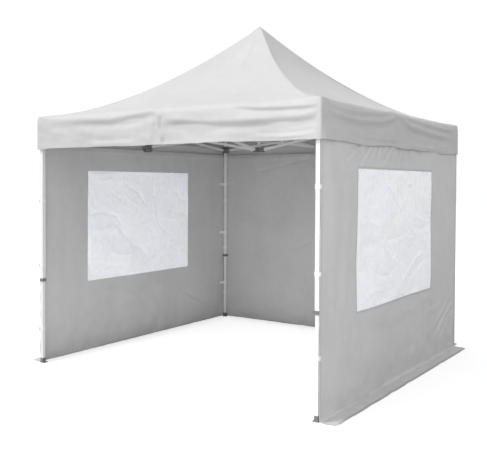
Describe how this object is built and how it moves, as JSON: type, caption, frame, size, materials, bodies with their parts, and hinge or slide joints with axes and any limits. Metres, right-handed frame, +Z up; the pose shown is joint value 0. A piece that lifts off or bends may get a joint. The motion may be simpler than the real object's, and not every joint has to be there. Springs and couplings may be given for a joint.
{
  "type": "marquee tent",
  "caption": "Pop-up marquee tent: hollow-curved pyramid canopy with valance on a scissor-truss steel frame with telescopic legs, hung side and rear walls, clear side windows, open front.",
  "frame": {"origin": "middle of the footprint on the ground, ground flaps included", "axes": "+Z up, -Y out of the open front, +X to the right seen from the front"},
  "size_m": [3.2614, 3.1308, 3.2498],
  "materials": {
    "white_steel": "white powder coat, satin",
    "charcoal_plastic": "moulded nylon, fine grain",
    "grey_cloth": "coated plain-weave polyester, matt",
    "window_film": "clear film, milky with creases"
  },
  "bodies": {
    "tent": {"upper_leg_front_left": "white_steel", "leg_collar_front_left": "charcoal_plastic", "corner_bracket_front_left": "charcoal_plastic", "slider_front_left": "charcoal_plastic", "upper_leg_front_right": "white_steel", "leg_collar_front_right": "charcoal_plastic", "corner_bracket_front_right": "charcoal_plastic", "slider_front_right": "charcoal_plastic", "upper_leg_rear_left": "white_steel", "leg_collar_rear_left": "charcoal_plastic", "corner_bracket_rear_left": "charcoal_plastic", "slider_rear_left": "charcoal_plastic", "upper_leg_rear_right": "white_steel", "leg_collar_rear_right": "charcoal_plastic", "corner_bracket_rear_right": "charcoal_plastic", "slider_rear_right": "charcoal_plastic", "side_truss_front": "white_steel", "ceiling_truss_front": "white_steel", "roof_panel_front": "grey_cloth", "valance_front": "grey_cloth", "side_truss_right": "white_steel", "ceiling_truss_right": "white_steel", "roof_panel_right": "grey_cloth", "valance_right": "grey_cloth", "side_truss_rear": "white_steel", "ceiling_truss_rear": "white_steel", "roof_panel_rear": "grey_cloth", "valance_rear": "grey_cloth", "side_truss_left": "white_steel", "ceiling_truss_left": "white_steel", "roof_panel_left": "grey_cloth", "valance_left": "grey_cloth", "wall_left": "grey_cloth", "wall_right": "grey_cloth", "wall_rear": "grey_cloth", "window_left": "window_film", "window_right": "window_film", "hub_lower": "charcoal_plastic", "hub_upper": "charcoal_plastic", "mast_cap": "charcoal_plastic", "mast": "white_steel"},
    "leg_front_left": {"lower_leg_front_left": "white_steel", "foot_front_left": "charcoal_plastic"},
    "leg_front_right": {"lower_leg_front_right": "white_steel", "foot_front_right": "charcoal_plastic"},
    "leg_rear_left": {"lower_leg_rear_left": "white_steel", "foot_rear_left": "charcoal_plastic"},
    "leg_rear_right": {"lower_leg_rear_right": "white_steel", "foot_rear_right": "charcoal_plastic"}
  },
  "joints": [
    {"name": "leg_height_front_left", "type": "slide", "parent": "tent", "child": "leg_front_left", "axis": [0, 0, 1], "range_m": [0, 0.24]},
    {"name": "leg_height_front_right", "type": "slide", "parent": "tent", "child": "leg_front_right", "axis": [0, 0, 1], "range_m": [0, 0.24]},
    {"name": "leg_height_rear_left", "type": "slide", "parent": "tent", "child": "leg_rear_left", "axis": [0, 0, 1], "range_m": [0, 0.24]},
    {"name": "leg_height_rear_right", "type": "slide", "parent": "tent", "child": "leg_rear_right", "axis": [0, 0, 1], "range_m": [0, 0.24]}
  ]
}
